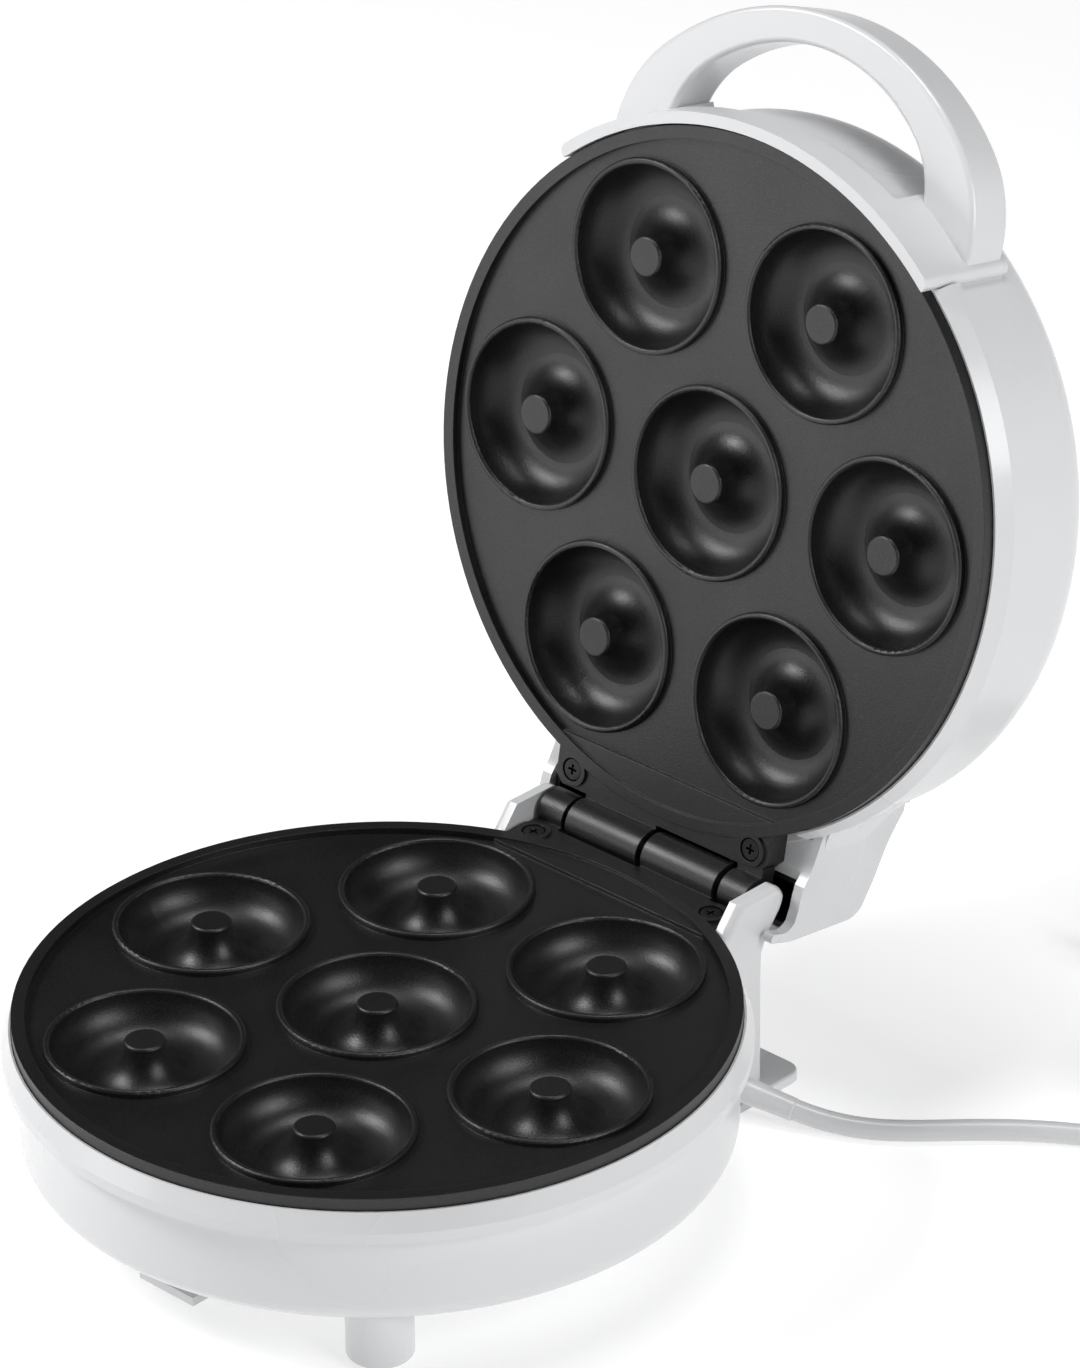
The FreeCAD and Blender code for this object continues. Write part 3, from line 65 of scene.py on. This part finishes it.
def make_camera():
    data = bpy.data.cameras.new("camera")
    data.lens = CAMERA_LENS
    data.sensor_width = 36.0
    data.shift_x, data.shift_y = CAMERA_SHIFT
    data.clip_end = CAMERA_REACH
    azimuth, elevation = CAMERA_AZIMUTH, CAMERA_ELEVATION
    back = Vector(
        (
            math.sin(azimuth) * math.cos(elevation),
            -math.cos(azimuth) * math.cos(elevation),
            math.sin(elevation),
        )
    )
    right = Vector((math.cos(azimuth), math.sin(azimuth), 0.0))
    up = back.cross(right)
    rolled_right = right * math.cos(CAMERA_ROLL) + up * math.sin(CAMERA_ROLL)
    rolled_up = up * math.cos(CAMERA_ROLL) - right * math.sin(CAMERA_ROLL)
    turn = Matrix((rolled_right, rolled_up, back)).transposed().to_4x4()
    camera = bpy.data.objects.new("camera", data)
    camera.matrix_world = Matrix.Translation(CAMERA_SPOT) @ turn
    scene.collection.objects.link(camera)
    scene.camera = camera


make_camera()


# ------------------------------------------------------------------ mesh helpers
SHARP_ANGLE = math.radians(40.0)


def add_object(name, mesh):
    obj = bpy.data.objects.new(name, mesh)
    scene.collection.objects.link(obj)
    return obj


def mesh_object(name, bm):
    """Finish a bmesh as an object, smooth except across open and sharp edges."""
    bmesh.ops.recalc_face_normals(bm, faces=bm.faces)
    for face in bm.faces:
        face.smooth = True
    for edge in bm.edges:
        sharp = len(edge.link_faces) != 2 or edge.calc_face_angle(0.0) > SHARP_ANGLE
        edge.smooth = not sharp
    mesh = bpy.data.meshes.new(name)
    bm.to_mesh(mesh)
    bm.free()
    return add_object(name, mesh)


def lathe(bm, profile, place, steps=48):
    """Turn (along, radius) pairs about the local X axis; ends at radius 0 are closed."""
    rings = []
    for along, radius in profile:
        if radius <= 0:
            rings.append([bm.verts.new(place @ Vector((along, 0.0, 0.0)))])
            continue
        ring = []
        for step in range(steps):
            angle = 2 * math.pi * step / steps
            spot = Vector((along, radius * math.cos(angle), radius * math.sin(angle)))
            ring.append(bm.verts.new(place @ spot))
        rings.append(ring)
    for first, second in zip(rings, rings[1:]):
        for step in range(steps):
            after = (step + 1) % steps
            corners = [
                first[step % len(first)],
                first[after % len(first)],
                second[after % len(second)],
                second[step % len(second)],
            ]
            unique = list(dict.fromkeys(corners))
            bm.faces.new(unique)


# ------------------------------------------------------------------ mains cord
CORD_DIAMETER = 6.0 * MM
CORD_EXIT = from_plate(44.6, 88.6, -47.0)
CORD_ROUTE = [
    from_plate(63.0, 95.0, -50.8),
    from_plate(72.0, 98.6, -52.4),
    from_plate(82.0, 103.8, -53.0),
    from_plate(92.0, 112.0, -53.0),
    from_plate(102.0, 122.2, -53.0),
    from_plate(113.8, 132.6, -53.0),
    from_plate(127.6, 141.8, -53.0),
    from_plate(143.0, 149.6, -53.0),
]
CORD_LEAD = [
    from_plate(140.0, 223.4, -47.5),
    from_plate(127.0, 224.6, -48.0),
]
COIL_CENTRE = from_plate(147.2, 187.5, -56.0)
COIL_OUTER = 33.5 * MM
COIL_INNER = 27.5 * MM
COIL_ENTRY = -68.0  # degrees from +X where the cord joins the coil
COIL_TURNED = 3 * 360.0 + 148.0  # degrees wound
COIL_STEPS = 62


def ease(value, start, finish):
    """0 before start, 1 after finish, and a soft step between them."""
    share = min(max((value - start) / (finish - start), 0.0), 1.0)
    return share * share * (3.0 - 2.0 * share)


def coil_point(turned):
    """Where the cord is after turning this many degrees: outside, inside, up, and outside again."""
    inward = ease(turned, 300.0, 340.0) - ease(turned, 960.0, 1010.0)
    radius = COIL_OUTER + (COIL_INNER - COIL_OUTER) * inward
    height = CORD_DIAMETER * (0.5 + ease(turned, 640.0, 690.0))
    angle = math.radians(COIL_ENTRY + turned)
    return COIL_CENTRE + Vector((radius * math.cos(angle), radius * math.sin(angle), height))


def make_cord():
    """The whole cord as one curve, from the strain relief round the coil to the plug."""
    points = [CORD_EXIT] + CORD_ROUTE
    points += [coil_point(COIL_TURNED * step / COIL_STEPS) for step in range(COIL_STEPS + 1)]
    points += CORD_LEAD
    curve = bpy.data.curves.new("mains_cord_line", "CURVE")
    curve.dimensions = "3D"
    curve.bevel_depth = 1.0  # times each point's radius, which also widens the line's box
    curve.bevel_resolution = 6
    curve.resolution_u = 8
    spline = curve.splines.new("NURBS")
    spline.points.add(len(points) - 1)
    for point, spot in zip(spline.points, points):
        point.co = (*spot, 1.0)
        point.radius = CORD_DIAMETER / 2
    spline.order_u = 3
    spline.use_endpoint_u = True
    return add_object("mains_cord_line", curve)


def make_strain_relief():
    """Snap-in bush with a smooth sleeve that tapers down onto the cord."""
    bm = bmesh.new()
    wall_x = 44.0 * MM
    bush = Matrix.Translation(Vector((wall_x, CORD_EXIT.y, CORD_EXIT.z)))
    rim, edge, proud = 5.4 * MM, 0.4 * MM, 1.2 * MM
    neck = 4.6 * MM
    lathe(
        bm,
        [
            (-3.0 * MM, 0.0),
            (-3.0 * MM, neck),
            (0.02 * MM, neck),
            (0.02 * MM, rim),
            (proud - edge, rim),
            (proud, rim - edge),
            (proud, 0.0),
        ],
        bush,
    )
    along = CORD_ROUTE[0] - CORD_EXIT
    turn = along.to_track_quat("X", "Z").to_matrix().to_4x4()
    place = Matrix.Translation(CORD_EXIT) @ turn
    base_radius, tip_radius, lip = 4.0 * MM, 3.25 * MM, 0.3 * MM
    profile = [(0.0, 0.0), (0.0, base_radius)]
    steps = 10
    for step in range(1, steps):
        share = step / steps
        waist = 0.12 * MM * math.sin(math.pi * share)
        radius = base_radius + (tip_radius - base_radius) * share - waist
        profile.append((along.length * share, radius))
    profile += [
        (along.length - lip, tip_radius),
        (along.length, tip_radius - lip),
        (along.length, 0.0),
    ]
    lathe(bm, profile, place)
    return mesh_object("strain_relief_sleeve", bm)


cord = make_cord()
sleeve = make_strain_relief()
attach(cord, "base")
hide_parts("mains_cord", "cord_coil")
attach(sleeve, "base")
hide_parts("cord_strain_relief")


# ------------------------------------------------------------------ materials
def new_material(name, colour, roughness, metallic=0.0):
    """A material, its node tree and its Principled shader, with plain values set."""
    made = bpy.data.materials.new(name)
    made.use_nodes = True
    shader = made.node_tree.nodes["Principled BSDF"]
    shader.inputs["Base Color"].default_value = (*colour, 1.0)
    shader.inputs["Roughness"].default_value = roughness
    shader.inputs["Metallic"].default_value = metallic
    return made, made.node_tree, shader


def link(tree, source, output, target, socket):
    tree.links.new(source.outputs[output], target.inputs[socket])


def object_noise(tree, scale, detail=3.0, stretch=(1.0, 1.0, 1.0)):
    """A noise texture over the object's own coordinates, in metres."""
    place = tree.nodes.new("ShaderNodeTexCoord")
    mapping = tree.nodes.new("ShaderNodeMapping")
    mapping.inputs["Scale"].default_value = stretch
    noise = tree.nodes.new("ShaderNodeTexNoise")
    noise.inputs["Scale"].default_value = scale
    noise.inputs["Detail"].default_value = detail
    link(tree, place, "Object", mapping, "Vector")
    link(tree, mapping, "Vector", noise, "Vector")
    return noise


def ramp(tree, source, output, stops, low=0.3, high=0.7):
    """Two colours or greys chosen by a texture's value."""
    made = tree.nodes.new("ShaderNodeValToRGB")
    first, second = made.color_ramp.elements
    first.position, second.position = low, high
    first.color, second.color = [(*stop, 1.0) for stop in stops]
    link(tree, source, output, made, "Fac")
    return made


def grey(value):
    return (value, value, value)


def vary(tree, shader, socket, noise, low, high):
    """Let a noise move one of the shader's values between low and high."""
    chosen = ramp(tree, noise, "Fac", (grey(low), grey(high)))
    link(tree, chosen, "Color", shader, socket)


def bump(tree, shader, source, output, strength, distance, soft=0.0):
    """Bump from a texture, over edges softened by a bevel of the given radius, if any."""
    made = tree.nodes.new("ShaderNodeBump")
    made.inputs["Strength"].default_value = strength
    made.inputs["Distance"].default_value = distance
    link(tree, source, output, made, "Height")
    if soft:
        bevel = tree.nodes.new("ShaderNodeBevel")
        bevel.samples = 4
        bevel.inputs["Radius"].default_value = soft
        link(tree, bevel, "Normal", made, "Normal")
    link(tree, made, "Normal", shader, "Normal")


def moulded_plastic(name, colour, roughness, grain=900.0, depth=0.02 * MM):
    """Glossy moulded plastic: faint changes in tone and gloss, and a slight orange peel."""
    made, tree, shader = new_material(name, colour, roughness)
    shader.inputs["Coat Weight"].default_value = 0.35
    shader.inputs["Coat Roughness"].default_value = 0.12
    cloud = object_noise(tree, 9.0, 1.0)
    darker = tuple(channel * 0.985 for channel in colour)
    tone = ramp(tree, cloud, "Fac", (darker, colour), 0.2, 0.8)
    link(tree, tone, "Color", shader, "Base Color")
    vary(tree, shader, "Roughness", object_noise(tree, 25.0, 1.0), roughness * 0.96, roughness * 1.04)
    bump(tree, shader, object_noise(tree, grain), "Fac", 0.02, depth)
    return made


def nonstick(name):
    """Black non-stick coating on a cast plate: fine sandy grain and a satin sheen."""
    made, tree, shader = new_material(name, grey(0.006), 0.35)
    shader.inputs["Specular IOR Level"].default_value = 0.55
    grains = object_noise(tree, 2600.0, 2.0)
    tone = ramp(tree, grains, "Fac", (grey(0.0008), grey(0.014)), 0.42, 0.66)
    link(tree, tone, "Color", shader, "Base Color")
    patches = object_noise(tree, 45.0, 5.0)
    vary(tree, shader, "Roughness", patches, 0.36, 0.43)
    bump(tree, shader, grains, "Fac", 0.45, 0.14 * MM, 0.3 * MM)
    return made


def metal(name, colour, roughness, stretch=(1.0, 1.0, 12.0)):
    """Metal with drawn lines and small changes in gloss."""
    made, tree, shader = new_material(name, colour, roughness, metallic=1.0)
    lines = object_noise(tree, 500.0, 3.0, stretch)
    vary(tree, shader, "Roughness", lines, roughness * 0.75, roughness * 1.3)
    darker = tuple(channel * 0.85 for channel in colour)
    tone = ramp(tree, lines, "Fac", (darker, colour))
    link(tree, tone, "Color", shader, "Base Color")
    bump(tree, shader, lines, "Fac", 0.15, 0.02 * MM, 0.15 * MM)
    return made


def matte(name, colour, roughness):
    """Matte rubber or plastic with a fine grain."""
    made, tree, shader = new_material(name, colour, roughness)
    grains = object_noise(tree, 1500.0)
    darker = tuple(channel * 0.8 for channel in colour)
    tone = ramp(tree, grains, "Fac", (darker, colour))
    link(tree, tone, "Color", shader, "Base Color")
    vary(tree, shader, "Roughness", object_noise(tree, 90.0), roughness * 0.9, roughness * 1.08)
    bump(tree, shader, grains, "Fac", 0.35, 0.06 * MM, 0.2 * MM)
    return made


def braid(name, colour):
    """Woven glass sleeve over a wire."""
    made, tree, shader = new_material(name, colour, 0.8)
    weave = tree.nodes.new("ShaderNodeTexWave")
    weave.wave_type = "BANDS"
    weave.bands_direction = "DIAGONAL"
    weave.inputs["Scale"].default_value = 420.0
    weave.inputs["Distortion"].default_value = 2.0
    place = tree.nodes.new("ShaderNodeTexCoord")
    link(tree, place, "Object", weave, "Vector")
    darker = tuple(channel * 0.6 for channel in colour)
    tone = ramp(tree, weave, "Fac", (darker, colour), 0.2, 0.6)
    link(tree, tone, "Color", shader, "Base Color")
    bump(tree, shader, weave, "Fac", 0.6, 0.15 * MM)
    return made


def lens(name, colour):
    """Tinted clear plastic over a lamp."""
    made, tree, shader = new_material(name, colour, 0.12)
    shader.inputs["Transmission Weight"].default_value = 0.55
    shader.inputs["IOR"].default_value = 1.49
    ripple = object_noise(tree, 700.0, 1.0)
    darker = tuple(channel * 0.7 for channel in colour)
    tone = ramp(tree, ripple, "Fac", (darker, colour))
    link(tree, tone, "Color", shader, "Base Color")
    bump(tree, shader, ripple, "Fac", 0.2, 0.05 * MM, 0.2 * MM)
    return made


ALONG_X = (12.0, 1.0, 1.0)  # squeezes a noise along X, so its lines run across
WHITE = (0.64, 0.645, 0.655)
CORD_WHITE = (0.57, 0.575, 0.585)
SLOT_MATERIALS = {
    "housing": moulded_plastic("white_plastic", WHITE, 0.28),
    "plate": nonstick("nonstick_coating"),
    "foot_rubber": matte("foot_rubber", (0.035, 0.035, 0.037), 0.75),
    "steel": metal("zinc_steel", (0.62, 0.62, 0.6), 0.35),
    "black_screw": metal("blackened_steel", (0.05, 0.05, 0.052), 0.38),
    "reflector": metal("bright_sheet", (0.8, 0.8, 0.81), 0.2, ALONG_X),
    "terminal": matte("terminal_plastic", (0.62, 0.58, 0.48), 0.55),
    "wire_sleeve": braid("woven_sleeve", (0.7, 0.67, 0.58)),
    "red_lens": lens("red_lens", (0.65, 0.02, 0.012)),
    "green_lens": lens("green_lens", (0.03, 0.5, 0.06)),
    # near-black matte plastic on the parts in the liner slot inside the lid's rear hood, which makes
    # the inside of the hood read black
    "liner": matte("hood_inside_black", (0.012, 0.012, 0.013), 0.4),
    "cord": moulded_plastic("cord_plastic", CORD_WHITE, 0.42, 1200.0, 0.03 * MM),
    "plug": moulded_plastic("plug_plastic", CORD_WHITE, 0.36, 1200.0, 0.03 * MM),
    "pin_metal": metal("nickel", (0.72, 0.7, 0.66), 0.22, ALONG_X),
}


def dress(obj, slot):
    """Give an object the material of its slot."""
    obj.data.materials.clear()
    obj.data.materials.append(SLOT_MATERIALS[slot])


for part in frame["record"]["subparts"]:
    dress(frame["nodes"][part["node"]], part["material_slot"])
for piece in (cord, sleeve):
    dress(piece, "cord")


# ------------------------------------------------------------------ floor and studio light
FLOOR_HALF = 4.0
FLOOR_GLOW = 0.55
WORLD_STRENGTH = 0.95
OVERHEAD = 0.02
OVERHEAD_FADE = (0.02, 0.36)  # height of a direction, as a sine, where the fade begins and ends
DIM_SIDE = (-0.6, 0.8, 0.0)
DIM_LEFT = 0.45
DIM_FADE = (0.25, 0.75)  # cosine to DIM_SIDE where the dimming begins and ends
AIM = (0.0, 0.0, 0.12)


def make_floor():
    """A pale floor that glows a little, as paper lit from all sides does."""
    bm = bmesh.new()
    half = FLOOR_HALF
    corners = [(-half, -half), (half, -half), (half, half), (-half, half)]
    bm.faces.new([bm.verts.new((x, y, 0.0)) for x, y in corners])
    floor = mesh_object("studio_floor", bm)
    made, tree, shader = new_material("floor_paper", grey(0.6), 0.9)
    shader.inputs["Specular IOR Level"].default_value = 0.1
    shader.inputs["Emission Color"].default_value = (1.0, 1.0, 1.0, 1.0)
    shader.inputs["Emission Strength"].default_value = FLOOR_GLOW
    floor.data.materials.append(made)


def soft_light(name, spot, size, power):
    """A white softbox at a spot, aimed at the middle of the object."""
    data = bpy.data.lights.new(name, "AREA")
    data.shape = "RECTANGLE"
    data.size, data.size_y = size
    data.energy = power
    lamp = bpy.data.objects.new(name, data)
    lamp.location = spot
    away = Vector(AIM) - Vector(spot)
    lamp.rotation_euler = away.to_track_quat("-Z", "Y").to_euler()
    scene.collection.objects.link(lamp)


def eased_range(tree, limits, low, high):
    """A node that goes softly from low to high as its value crosses the two limits."""
    made = tree.nodes.new("ShaderNodeMapRange")
    made.interpolation_type = "SMOOTHSTEP"
    made.inputs["From Min"].default_value, made.inputs["From Max"].default_value = limits
    made.inputs["To Min"].default_value = low
    made.inputs["To Max"].default_value = high
    return made


def make_world():
    """White round the horizon and below, nearly black overhead, and dimmer behind on the left."""
    world = bpy.data.worlds.new("studio")
    world.use_nodes = True
    tree = world.node_tree
    background = tree.nodes["Background"]
    background.inputs["Strength"].default_value = WORLD_STRENGTH
    direction = tree.nodes.new("ShaderNodeTexCoord")
    parts = tree.nodes.new("ShaderNodeSeparateXYZ")
    fade = eased_range(tree, OVERHEAD_FADE, 1.0, OVERHEAD)
    link(tree, direction, "Generated", parts, "Vector")
    link(tree, parts, "Z", fade, "Value")
    facing = tree.nodes.new("ShaderNodeVectorMath")
    facing.operation = "DOT_PRODUCT"
    facing.inputs[1].default_value = DIM_SIDE
    dim = eased_range(tree, DIM_FADE, 1.0, DIM_LEFT)
    both = tree.nodes.new("ShaderNodeMath")
    both.operation = "MULTIPLY"
    link(tree, direction, "Generated", facing, "Vector")
    link(tree, facing, "Value", dim, "Value")
    tree.links.new(fade.outputs["Result"], both.inputs[0])
    tree.links.new(dim.outputs["Result"], both.inputs[1])
    link(tree, both, "Value", background, "Color")
    scene.world = world


make_floor()
make_world()
soft_light("key_left", (-1.1, -0.9, 1.3), (0.6, 0.6), 22.0)
soft_light("fill_right", (1.5, 0.1, 0.9), (0.7, 0.8), 13.5)
soft_light("front_low", (-1.2, -1.5, 0.3), (1.2, 0.6), 5.0)
soft_light("top", (0.0, 0.2, 1.9), (0.6, 0.6), 12.0)
scene.view_settings.view_transform = "Standard"
